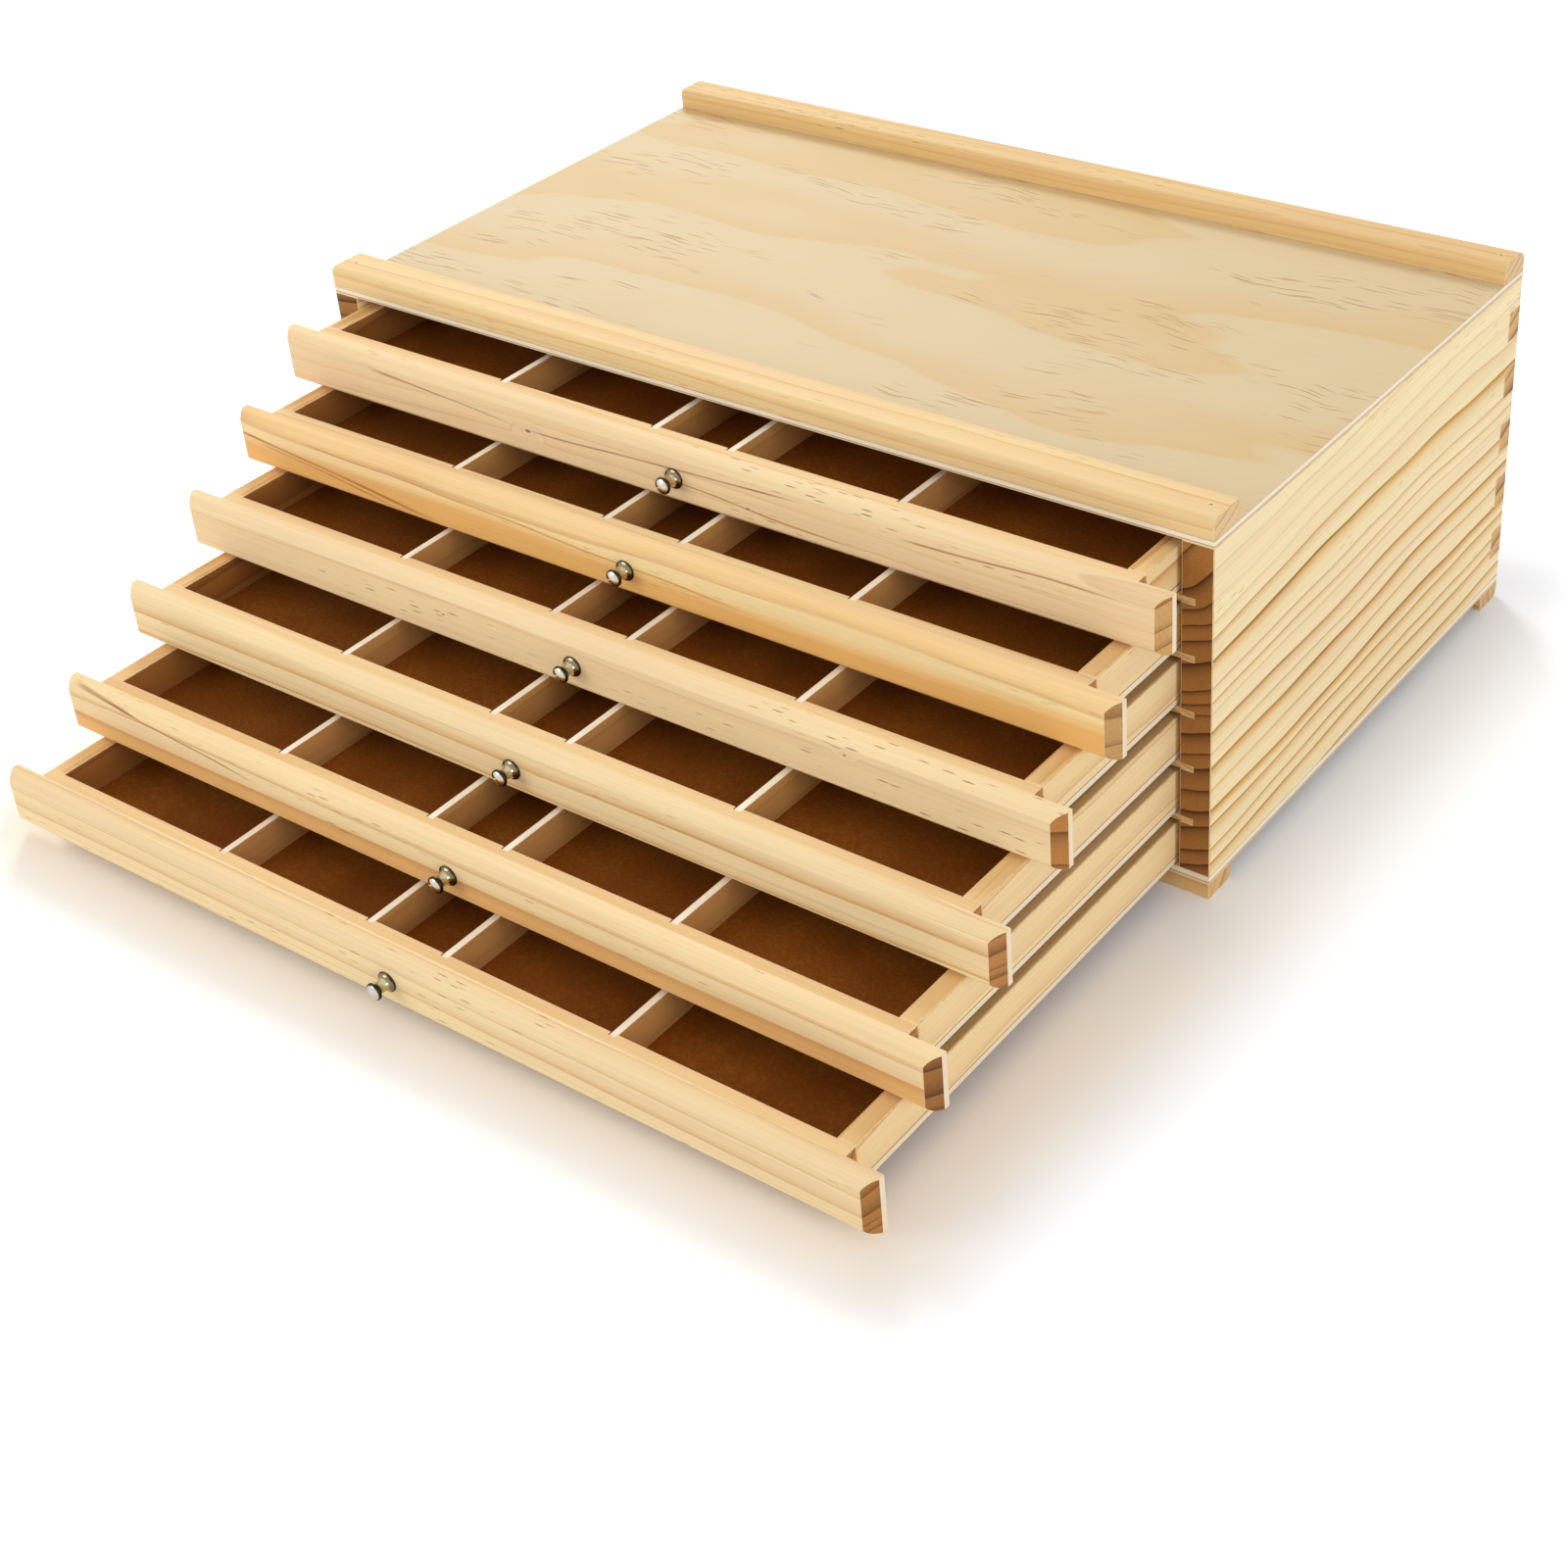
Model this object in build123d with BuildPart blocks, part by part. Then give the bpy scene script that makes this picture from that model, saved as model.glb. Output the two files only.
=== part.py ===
from build123d import *
import os

os.makedirs("parts", exist_ok=True)

# A low pine case on two foot strips holds a stack of six shallow trays. Each tray is a thin
# walled box on a hardboard bottom, behind a wider front board that closes over the case's edges.
# Origin: centre of the front foot's underside. +X to the right, +Y to the back, +Z up.

# Case
case_width = 400.0
case_depth = 235.0
side_thickness = 12.0
back_thickness = 9.0
base_thickness = 3.0
top_thickness = 2.5
head_gap = 3.9  # between the top tray and the top panel
finger_count = 11  # fingers and notches down each back corner

# Foot strips under the base
foot_depth = 15.0
foot_height = 6.5
foot_round = 3.0

# Rails across the top panel
rail_depth = 16.3
rail_height = 8.3
rail_front_round = 2.5
rail_back_round = 1.0
rear_rail_round = 4.0  # the rear rail's back edge
brad_width = 1.25  # flat wire brads, one near each end of each rail
brad_breadth = 1.0
brad_bite = 8.0  # how far a brad enters the side panel
brad_set = 0.3  # how far it is punched below the rail
brad_clearance = 0.03

# Runners let into the side panels
runner_thickness = 2.0
groove_depth = 5.0
runner_reach = 5.5  # out of the side panel, under the tray
runner_corner = 2.0

# Trays
openings = (23.7, 54.0, 86.0, 121.5, 157.4, 191.4)  # how far out each stands, top one first
tray_height = 17.0
tray_gap = 2.0  # at each side of the tray
tray_rear_gap = 5.0
rest_gap = 0.3  # under the tray, on its runner or on the base
wall_thickness = 7.0
front_wall_thickness = 5.0
bottom_thickness = 2.5

# Dividers, seated in slots in the front and back walls
divider_thickness = 2.8
divider_offsets = (17.5, 91.2)  # to the left and right of the middle
divider_drop = 0.5  # below the tray's rim
slot_depth = 1.5
slot_clearance = 0.15

# Front boards
front_drop = 4.5  # below the tray's bottom
front_gap = 0.7  # between closed fronts
front_edge = 2.5  # the square part of the board's edge, at the back
bevel_depth = 5.0
end_bevel = 3.6
top_round = 2.6
bottom_round = 2.9

# Turned knobs, screwed through the front board; reaches are measured out from the board
knob_flange_radius = 4.0
knob_flange_edge = 0.5
knob_neck_radius = 1.9
knob_neck_reach = 4.6
knob_head_radius = 3.3
knob_head_reach = 5.8
knob_rim = 0.8
knob_crown_radius = 2.3
knob_length = 7.6
shank_radius = 1.5
shank_length = 6.0  # into the front board
shank_clearance = 0.05

# Levels
base_top = foot_height + base_thickness
runner_pitch = tray_height + front_drop + front_gap
tray_count = len(openings)
runner_levels = [base_top + runner_pitch * step for step in range(tray_count)]
tray_floors = [level + rest_gap for level in reversed(runner_levels)]
side_top = tray_floors[0] + tray_height + head_gap
side_height = side_top - base_top
panel_top = side_top + top_thickness
rail_top = panel_top + rail_height

# Widths and depths
case_front = -foot_depth / 2
case_back = case_front + case_depth
case_middle = case_front + case_depth / 2
back_front = case_back - back_thickness
inner_width = case_width - 2 * side_thickness
tray_width = inner_width - 2 * tray_gap
tray_depth = case_depth - back_thickness - tray_rear_gap
wall_height = tray_height - bottom_thickness
front_height = tray_height + front_drop
front_thickness = front_edge + bevel_depth

# The back corners: the side panels keep the odd fingers, the back panel the even ones.
finger_height = side_height / finger_count
finger_levels = [base_top + finger_height * (step + 0.5) for step in range(finger_count)]
back_fingers = finger_levels[1::2]

brad_top = rail_top - brad_set
brad_tip = side_top - brad_bite
brad_across = (case_width - side_thickness) / 2
rail_rows = (case_front + rail_depth / 2, case_back - rail_depth / 2)
brad_places = [(side * brad_across, row) for side in (-1, 1) for row in rail_rows]
brad_hole = (brad_width + 2 * brad_clearance, brad_breadth + 2 * brad_clearance)

with BuildPart() as side_right:
    with BuildSketch(Plane.YZ.offset(inner_width / 2)):
        with Locations((case_middle, base_top + side_height / 2)):
            Rectangle(case_depth, side_height)
        with Locations(*[(case_back - back_thickness / 2, level) for level in back_fingers]):
            Rectangle(back_thickness, finger_height, mode=Mode.SUBTRACT)
    extrude(amount=side_thickness)
    groove_middle = (case_front + back_front) / 2
    grooves = [(groove_middle, level - runner_thickness / 2) for level in runner_levels[1:]]
    with BuildSketch(Plane.YZ.offset(inner_width / 2)):
        with Locations(*grooves):
            Rectangle(back_front - case_front, runner_thickness)
    extrude(amount=groove_depth, mode=Mode.SUBTRACT)
    with BuildSketch(Plane.XY.offset(side_top)):
        with Locations(*[(brad_across, row) for row in rail_rows]):
            Rectangle(*brad_hole)
    extrude(amount=-brad_bite, mode=Mode.SUBTRACT)
side_right.part.label = "side_right"
export_step(side_right.part, "parts/side_right.step")

with BuildPart() as side_left:
    mirror(side_right.part, about=Plane.YZ)
side_left.part.label = "side_left"
export_step(side_left.part, "parts/side_left.step")

with BuildPart() as back_panel:
    with BuildSketch(Plane.XZ.offset(-case_back)):
        with Locations((0, base_top + side_height / 2)):
            Rectangle(inner_width, side_height)
        with Locations(*[(0, level) for level in back_fingers]):
            Rectangle(case_width, finger_height)
    extrude(amount=back_thickness)
back_panel.part.label = "back_panel"
export_step(back_panel.part, "parts/back_panel.step")

with BuildPart() as base_panel:
    with BuildSketch(Plane.XY.offset(foot_height)):
        with Locations((0, case_middle)):
            Rectangle(case_width, case_depth)
    extrude(amount=base_thickness)
base_panel.part.label = "base_panel"
export_step(base_panel.part, "parts/base_panel.step")

with BuildPart() as top_panel:
    with BuildSketch(Plane.XY.offset(side_top)):
        with Locations((0, case_middle)):
            Rectangle(case_width, case_depth)
        with Locations(*brad_places):
            Rectangle(*brad_hole, mode=Mode.SUBTRACT)
    extrude(amount=top_thickness)
top_panel.part.label = "top_panel"
export_step(top_panel.part, "parts/top_panel.step")

with BuildPart() as rail_pins:
    with BuildSketch(Plane.XY.offset(brad_tip)):
        with Locations(*brad_places):
            Rectangle(brad_width, brad_breadth)
    extrude(amount=brad_top - brad_tip)
rail_pins.part.label = "rail_pins"
export_step(rail_pins.part, "parts/rail_pins.step")

# Foot strips: square in front, eased along the lower back edge.
for name, front in (("front_foot", case_front), ("rear_foot", case_back - foot_depth)):
    with BuildPart() as foot:
        with BuildSketch(Plane.YZ.offset(-case_width / 2)):
            with Locations((front + foot_depth / 2, foot_height / 2)):
                Rectangle(foot_depth, foot_height)
        extrude(amount=case_width)
        lower = foot.edges().filter_by(Axis.X).group_by(Axis.Z)[0]
        fillet(lower.sort_by(Axis.Y)[-1], radius=foot_round)
    foot.part.label = name
    export_step(foot.part, f"parts/{name}.step")

# Rails: flat on top, rounded in front, with the rear one rounded at the back as well.
rails = (
    ("front_rail", rail_rows[0], rail_front_round, rail_back_round),
    ("rear_rail", rail_rows[1], rail_front_round, rear_rail_round),
)
for name, middle, front_radius, back_radius in rails:
    with BuildPart() as rail:
        with BuildSketch(Plane.YZ.offset(-case_width / 2)):
            with Locations((middle, panel_top + rail_height / 2)):
                Rectangle(rail_depth, rail_height)
        extrude(amount=case_width)
        upper = rail.edges().filter_by(Axis.X).group_by(Axis.Z)[-1].sort_by(Axis.Y)
        fillet(upper[0], radius=front_radius)
        fillet(upper[-1], radius=back_radius)
        with BuildSketch(Plane.XY.offset(rail_top)):
            with Locations((-brad_across, middle), (brad_across, middle)):
                Rectangle(*brad_hole)
        extrude(amount=-rail_height, mode=Mode.SUBTRACT)
    rail.part.label = name
    export_step(rail.part, f"parts/{name}.step")

# Runners: thin strips in the grooves, with their free front corner rounded.
runner_width = groove_depth + runner_reach
with BuildPart() as runners_right:
    for level in runner_levels[1:]:
        with BuildSketch(Plane.XY.offset(level - runner_thickness)):
            with Locations((inner_width / 2 - runner_reach + runner_width / 2, groove_middle)):
                strip = Rectangle(runner_width, back_front - case_front)
            free_corner = strip.vertices().group_by(Axis.Y)[0].sort_by(Axis.X)[0]
            fillet(free_corner, radius=runner_corner)
        extrude(amount=runner_thickness)
runners_right.part.label = "runners_right"
export_step(runners_right.part, "parts/runners_right.step")

with BuildPart() as runners_left:
    mirror(runners_right.part, about=Plane.YZ)
runners_left.part.label = "runners_left"
export_step(runners_left.part, "parts/runners_left.step")

# The trays. Each is drawn on its own plane, whose origin lies under the middle of the
# front board's back face, at the level of the tray's underside.
side_run = tray_depth - front_wall_thickness
back_wall_front = tray_depth - wall_thickness
divider_start = front_wall_thickness - slot_depth
divider_length = back_wall_front + slot_depth - divider_start
divider_places = [side * offset for offset in divider_offsets for side in (-1, 1)]
slot_width = divider_thickness + 2 * slot_clearance
knob_level = (front_height / 2) - front_drop

for number, (opening, floor) in enumerate(zip(openings, tray_floors), start=1):
    drawer = f"drawer{number}"
    seat = Plane((0, case_front - opening, floor))
    rim = seat.offset(bottom_thickness)
    # The board's face. It looks forward: local x is the row's X, local y its Z.
    face_middle = seat.origin + Vector(0, -front_thickness, knob_level)
    face = Plane(face_middle, x_dir=(1, 0, 0), z_dir=(0, -1, 0))

    with BuildPart() as bottom:
        with BuildSketch(seat):
            with Locations((0, tray_depth / 2)):
                Rectangle(tray_width, tray_depth)
        extrude(amount=bottom_thickness)
    bottom.part.label = f"{drawer}_bottom"
    export_step(bottom.part, f"parts/{drawer}_bottom.step")

    with BuildPart() as front_wall:
        with BuildSketch(rim):
            with Locations((0, front_wall_thickness / 2)):
                Rectangle(tray_width, front_wall_thickness)
            with Locations(*[(x, front_wall_thickness - slot_depth / 2) for x in divider_places]):
                Rectangle(slot_width, slot_depth, mode=Mode.SUBTRACT)
        extrude(amount=wall_height)
    front_wall.part.label = f"{drawer}_front_wall"
    export_step(front_wall.part, f"parts/{drawer}_front_wall.step")

    with BuildPart() as back:
        with BuildSketch(rim):
            with Locations((0, back_wall_front + wall_thickness / 2)):
                Rectangle(tray_width - 2 * wall_thickness, wall_thickness)
            with Locations(*[(x, back_wall_front + slot_depth / 2) for x in divider_places]):
                Rectangle(slot_width, slot_depth, mode=Mode.SUBTRACT)
        extrude(amount=wall_height)
    back.part.label = f"{drawer}_back"
    export_step(back.part, f"parts/{drawer}_back.step")

    for name, side in (("side_left", -1), ("side_right", 1)):
        with BuildPart() as wall:
            with BuildSketch(rim):
                wall_middle = (tray_width - wall_thickness) / 2
                with Locations((side * wall_middle, front_wall_thickness + side_run / 2)):
                    Rectangle(wall_thickness, side_run)
            extrude(amount=wall_height)
        wall.part.label = f"{drawer}_{name}"
        export_step(wall.part, f"parts/{drawer}_{name}.step")

    with BuildPart() as dividers:
        with BuildSketch(rim):
            with Locations(*[(x, divider_start + divider_length / 2) for x in divider_places]):
                Rectangle(divider_thickness, divider_length)
        extrude(amount=wall_height - divider_drop)
    dividers.part.label = f"{drawer}_dividers"
    export_step(dividers.part, f"parts/{drawer}_dividers.step")

    # The front board: its section, rounded above and below, is run across the full width and
    # kept where it meets the plan, whose ends are bevelled.
    with BuildPart() as front:
        side_plane = Plane(seat.origin, x_dir=(0, 1, 0), z_dir=(1, 0, 0))
        with BuildSketch(side_plane.offset(-case_width / 2)):
            with BuildLine():
                back_low = (0, -front_drop)
                back_high = (0, tray_height)
                edge_low = (-front_edge, -front_drop)
                edge_high = (-front_edge, tray_height)
                face_low = (-front_thickness, bottom_round - front_drop)
                face_high = (-front_thickness, tray_height - top_round)
                Polyline(edge_low, back_low, back_high, edge_high)
                TangentArc(edge_high, face_high, tangent=(-1, 0))
                Line(face_high, face_low)
                TangentArc(edge_low, face_low, tangent=(-1, 0))
            make_face()
        extrude(amount=case_width)
        with BuildSketch(seat.offset(-front_drop)):
            with BuildLine():
                half = case_width / 2
                edges = [(-half, -front_edge), (-half, 0), (half, 0), (half, -front_edge)]
                nose = [(half - end_bevel, -front_thickness), (end_bevel - half, -front_thickness)]
                Polyline(*edges, *nose, close=True)
            make_face()
        extrude(amount=front_height, mode=Mode.INTERSECT)
        with BuildSketch(face):
            Circle(shank_radius + shank_clearance)
        extrude(amount=-shank_length, mode=Mode.SUBTRACT)
    front.part.label = f"{drawer}_front"
    export_step(front.part, f"parts/{drawer}_front.step")

    # The knob: a flared flange on the board, a narrow neck and a bevelled head, on its shank.
    with BuildPart() as knob:
        with BuildSketch(Plane(face_middle, x_dir=(1, 0, 0), z_dir=(0, 0, 1))):
            with BuildLine():
                shank = [(0, shank_length), (shank_radius, shank_length), (shank_radius, 0)]
                flange = [(knob_flange_radius, 0), (knob_flange_radius, -knob_flange_edge)]
                neck = (knob_neck_radius, -knob_neck_reach)
                head = (knob_head_radius, -knob_head_reach)
                lip = (knob_head_radius, -knob_head_reach - knob_rim)
                crown = [(knob_crown_radius, -knob_length), (0, -knob_length)]
                Polyline(*shank, *flange, neck, head, lip, *crown, close=True)
            make_face()
        revolve(axis=Axis(face_middle, (0, 1, 0)), revolution_arc=360)
    knob.part.label = f"{drawer}_knob"
    export_step(knob.part, f"parts/{drawer}_knob.step")
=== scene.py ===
import math

import bmesh
import bpy
from mathutils import Matrix, Vector


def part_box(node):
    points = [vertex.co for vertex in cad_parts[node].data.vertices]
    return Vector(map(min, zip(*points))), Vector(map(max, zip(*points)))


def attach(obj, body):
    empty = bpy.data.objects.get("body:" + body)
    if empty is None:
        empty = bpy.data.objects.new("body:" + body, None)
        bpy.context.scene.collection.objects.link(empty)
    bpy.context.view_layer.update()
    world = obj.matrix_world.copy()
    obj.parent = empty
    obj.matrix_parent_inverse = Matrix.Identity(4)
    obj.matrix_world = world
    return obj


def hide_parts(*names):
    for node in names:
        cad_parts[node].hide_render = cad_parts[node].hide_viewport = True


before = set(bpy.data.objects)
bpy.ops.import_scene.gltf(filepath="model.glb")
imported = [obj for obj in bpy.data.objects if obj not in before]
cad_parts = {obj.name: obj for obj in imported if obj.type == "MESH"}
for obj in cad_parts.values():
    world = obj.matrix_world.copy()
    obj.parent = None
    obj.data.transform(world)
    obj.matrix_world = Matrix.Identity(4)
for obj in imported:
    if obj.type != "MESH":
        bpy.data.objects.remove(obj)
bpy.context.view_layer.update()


# Side panels
# Two boards of planed pine, 12 mm thick, with the grain front to back. Their back edges are cut
# into fingers, and five grooves inside each take the runners.


def linear(colour):
    """A "#RRGGBB" colour as written for a screen, as the linear colour that a shader takes."""
    parts = [int(colour[i : i + 2], 16) / 255 for i in (1, 3, 5)]
    return tuple(p / 12.92 if p <= 0.04045 else ((p + 0.055) / 1.055) ** 2.4 for p in parts) + (1.0,)


def add(tree, kind, settings=None, inputs=None):
    """Adds a node, gives it its settings, and sets its inputs or links them to other nodes. A node
    given as an input stands for the first output that its settings leave in use."""
    made = tree.nodes.new(kind)
    for name, value in (settings or {}).items():
        if name == "stops":
            ramp = made.color_ramp
            while len(ramp.elements) < len(value):
                ramp.elements.new(1.0)
            for element, (place, colour) in zip(ramp.elements, value):
                element.position = place
                element.color = linear(colour) if isinstance(colour, str) else (colour, colour, colour, 1.0)
        else:
            setattr(made, name, value)
    for name, value in (inputs or {}).items():
        if isinstance(value, bpy.types.Node):
            value = next(output for output in value.outputs if output.enabled)
        if isinstance(value, bpy.types.NodeSocket):
            tree.links.new(value, made.inputs[name])
        else:
            made.inputs[name].default_value = value
    return made


def blank(name):
    """A new material, and its empty node tree."""
    made = bpy.data.materials.new(name)
    made.use_nodes = True
    made.node_tree.nodes.clear()
    return made, made.node_tree


def put(name, data):
    """A new object in the scene, made of a mesh, a lamp or a lens."""
    made = bpy.data.objects.new(name, data)
    bpy.context.scene.collection.objects.link(made)
    return made


# Settings that come again: a step with soft ends, one colour mixed into another, and one colour
# laid over another like a stain.
soft_step = {"interpolation_type": "SMOOTHSTEP"}
colour_mix = {"data_type": "RGBA"}
colour_wash = {"data_type": "RGBA", "blend_type": "MULTIPLY"}


def figure(tree, mm, along, across, detail, roughness=0.5):
    """Soft uneven figure: spots this many mm long along the grain, and this many across it."""
    drawn_out = add(
        tree, "ShaderNodeVectorMath", {"operation": "MULTIPLY"},
        {0: mm, 1: (1 / along, 1 / across, 1 / across)},
    )
    return add(
        tree, "ShaderNodeTexNoise", None,
        {"Vector": drawn_out, "Scale": 1.0, "Detail": detail, "Roughness": roughness},
    )


def surfaced(tree, colour, grain, rough, relief, strength, depth, shine):
    """Ends a material with its surface: grain roughens it between the two values of rough, and
    relief lifts it by depth, in metres, as fully as strength says."""
    worn = add(tree, "ShaderNodeMapRange", None, {"Value": grain, "To Min": rough[0], "To Max": rough[1]})
    bump = add(tree, "ShaderNodeBump", None, {"Strength": strength, "Distance": depth, "Height": relief})
    surface = add(
        tree, "ShaderNodeBsdfPrincipled", None,
        {"Base Color": colour, "Roughness": worn, "Normal": bump, **shine},
    )
    add(tree, "ShaderNodeOutputMaterial", None, {"Surface": surface})


def heartwood(tree, body, mm, bend, wobble, middle, top, colour, fade):
    """Lays heartwood over a board below a height, with an orange tinge in its upper 4.5 mm that is
    stronger the faster it fades in. middle is the height of the log's middle."""
    height = add(tree, "ShaderNodeSeparateXYZ", None, {0: mm})
    sunk = add(
        tree, "ShaderNodeMath", {"operation": "MULTIPLY_ADD"},
        {0: bend, 1: 2 * wobble, 2: height.outputs["Z"]},
    )
    level = top - middle + wobble
    under = add(
        tree, "ShaderNodeMapRange", soft_step,
        {"Value": sunk, "From Min": level - fade, "From Max": level, "To Min": 1.0, "To Max": 0.0},
    )
    margin = add(
        tree, "ShaderNodeMapRange", soft_step,
        {"Value": sunk, "From Min": level - 4.5, "From Max": level, "To Min": 0.0, "To Max": 0.4 / fade},
    )
    deep = add(tree, "ShaderNodeMix", colour_mix, {0: margin, 6: linear(colour), 7: linear("#B87434")})
    return add(tree, "ShaderNodeMix", colour_mix, {0: under, 6: body, 7: deep})


def pitch_line(tree, body, axes, ripple, strand, x0, z0, x1, z1, width, tint):
    """Draws a line of pitch over a board's colour, from one end to the other, in mm. It wanders up
    and down, is broken by the strands of the wood, and fades at its ends."""
    stray = 1.6  # mm, up and down
    run = add(
        tree, "ShaderNodeMapRange", {"clamp": False},
        {
            "Value": axes.outputs["X"], "From Min": x0, "From Max": x1,
            "To Min": z0 - stray, "To Max": z1 - stray,
        },
    )
    wander = add(tree, "ShaderNodeMath", {"operation": "MULTIPLY_ADD"}, {0: ripple, 1: 2 * stray, 2: run})
    off = add(tree, "ShaderNodeMath", {"operation": "SUBTRACT"}, {0: axes.outputs["Z"], 1: wander})
    away = add(tree, "ShaderNodeMath", {"operation": "ABSOLUTE"}, {0: off})
    mark = add(
        tree, "ShaderNodeMapRange", soft_step,
        {"Value": away, "From Min": 0.25 * width, "From Max": width, "To Min": 1.0, "To Max": 0.0},
    )
    start = add(
        tree, "ShaderNodeMapRange", soft_step,
        {"Value": axes.outputs["X"], "From Min": x0, "From Max": x0 + 12},
    )
    stop = add(
        tree, "ShaderNodeMapRange", soft_step,
        {"Value": axes.outputs["X"], "From Min": x1 - 25, "From Max": x1, "To Min": 1.0, "To Max": 0.0},
    )
    kept = add(tree, "ShaderNodeMath", {"operation": "MULTIPLY"}, {0: start, 1: stop})
    faded = add(
        tree, "ShaderNodeMath", {"operation": "MULTIPLY_ADD", "use_clamp": True},
        {0: strand, 1: 1.2, 2: 0.05},
    )
    drawn = add(tree, "ShaderNodeMath", {"operation": "MULTIPLY"}, {0: mark, 1: kept})
    broken = add(tree, "ShaderNodeMath", {"operation": "MULTIPLY"}, {0: drawn, 1: faded})
    return add(tree, "ShaderNodeMix", colour_mix, {0: broken, 6: body, 7: linear(tint)})


def planed_pine(
    name, grain="X", pith=(0.0, 0.0), shift=0.0, tilt=0.0,
    ring=4.0, wobble=3.0, wave=(240.0, 40.0), ripples=1.0, flip=False,
    pale="#EBCB97", late="#C98A3C", contrast=0.5, line="#9C7440", sharp=0.35, calm=None,
    flecks=0.5, streaks=(), knots=(), warm=None, heart=None, inner=None,
    end_pale="#B9854F", end_late="#6B3A12", end_face=None,
):
    """Planed bare pine: pale early wood, darker late wood at each year ring, fine fibres, and resin
    canals as short dark flecks. Across the grain the wood is darker, and shows its rings.

    The board comes from a log whose middle runs along the grain at pith, in mm, moved along by
    shift and tilted by tilt degrees. ring is the rings' width, wobble how far they bend, wave how
    long the bends are along the grain and across it, and ripples how strong the short ones are.
    flip turns the rings' dark side round. line is the thin dark edge of each ring, sharp how strong
    it is, and calm the two heights between which the rings fade. streaks are pitch lines: their
    ends, width and colour. knots are the middle and radius of pin knots. warm is the pale wood's
    colour where it faces up. heart is the height below which the board is heartwood, its colour,
    and how far it fades in. inner is the side along X whose faces get a painted shade, 1 or -1,
    and the colour of that shade. end_pale and end_late are the end grain's colours, and end_face
    that of a painted highlight on a square end."""
    made, tree = blank(name)
    where = add(tree, "ShaderNodeTexCoord")
    if grain == "X":
        turn, place = (0.0, math.radians(tilt), 0.0), (shift, -pith[0], -pith[1])
    else:
        turn, place = (math.radians(tilt), 0.0, -math.pi / 2), (shift, pith[0], -pith[1])
    mm = add(
        tree, "ShaderNodeMapping", {"vector_type": "POINT"},
        {"Vector": where.outputs["Object"], "Location": place, "Rotation": turn, "Scale": (1000, 1000, 1000)},
    )

    # Year rings: the distance from the log's middle, bent by slow waves along the grain.
    across = add(tree, "ShaderNodeVectorMath", {"operation": "MULTIPLY"}, {0: mm, 1: (0, 1, 1)})
    radius = add(tree, "ShaderNodeVectorMath", {"operation": "LENGTH"}, {0: across})
    bend = figure(tree, mm, *wave, detail=1.5, roughness=0.35)
    bent = add(tree, "ShaderNodeMath", {"operation": "MULTIPLY_ADD"}, {0: bend, 1: 2 * wobble, 2: radius})
    ripple = figure(tree, mm, 70, 22, detail=1.0)
    ripple_height = ripples * min(0.28 * ring + 0.25 * wobble, 4.0)
    rippled = add(
        tree, "ShaderNodeMath", {"operation": "MULTIPLY_ADD"},
        {0: ripple, 1: ripple_height, 2: bent},
    )
    spot = add(
        tree, "ShaderNodeMapping", {"vector_type": "POINT"},
        {"Vector": where.outputs["Object"], "Scale": (1000, 1000, 1000)},
    )
    axes = add(tree, "ShaderNodeSeparateXYZ", None, {0: spot})
    # The grain runs round each knot.
    near = []
    for x, z, r in knots:
        from_knot = add(tree, "ShaderNodeVectorMath", {"operation": "SUBTRACT"}, {0: spot, 1: (x, 0, z)})
        round_it = add(
            tree, "ShaderNodeVectorMath", {"operation": "MULTIPLY"},
            {0: from_knot, 1: (0.45 / r, 0, 1 / r)},
        )
        far = add(tree, "ShaderNodeVectorMath", {"operation": "LENGTH"}, {0: round_it})
        swell = add(
            tree, "ShaderNodeMapRange", soft_step,
            {"Value": far, "From Min": 0.0, "From Max": 4.5, "To Min": 1.3 * ring, "To Max": 0.0},
        )
        rippled = add(tree, "ShaderNodeMath", {"operation": "ADD"}, {0: rippled, 1: swell})
        near.append(far)
    # Wet years and dry years: the rings aren't evenly wide.
    step = add(tree, "ShaderNodeMath", {"operation": "DIVIDE"}, {0: rippled, 1: 2.3 * ring})
    luck = add(
        tree, "ShaderNodeTexNoise", {"noise_dimensions": "1D"},
        {"W": step, "Scale": 1.0, "Detail": 0.0},
    )
    uneven = add(tree, "ShaderNodeMath", {"operation": "MULTIPLY_ADD"}, {0: luck, 1: 1.5 * ring, 2: rippled})
    years = add(tree, "ShaderNodeMath", {"operation": "DIVIDE"}, {0: uneven, 1: ring})
    year = add(tree, "ShaderNodeMath", {"operation": "FLOOR"}, {0: years})
    season = add(tree, "ShaderNodeMath", {"operation": "FRACT"}, {0: years})
    if flip:
        season = add(tree, "ShaderNodeMath", {"operation": "SUBTRACT"}, {0: 1.0, 1: season})
    kind = add(tree, "ShaderNodeTexWhiteNoise", {"noise_dimensions": "1D"}, {"W": year})
    span = add(tree, "ShaderNodeMapRange", None, {"Value": kind, "To Min": 0.8, "To Max": 2.6})
    slowed = add(tree, "ShaderNodeMath", {"operation": "POWER"}, {0: season, 1: span})
    late_wood = add(
        tree, "ShaderNodeValToRGB",
        {"stops": [
            (0.0, 0.0), (0.4, 0.12), (0.75, 0.5), (0.9, 0.85), (0.96, 1.0), (0.985, 0.6), (1.0, 0.05),
        ]},
        {"Fac": slowed},
    )
    thin = add(
        tree, "ShaderNodeValToRGB",
        {"stops": [(0.0, 0.0), (0.84, 0.0), (0.93, 1.0), (0.985, 0.85), (1.0, 0.0)]},
        {"Fac": slowed},
    )
    weight = add(
        tree, "ShaderNodeMapRange", None,
        {"Value": kind, "From Min": 1.0, "From Max": 0.0, "To Min": 0.35 * contrast, "To Max": contrast},
    )
    if calm:
        calm_from, calm_to = calm
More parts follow.
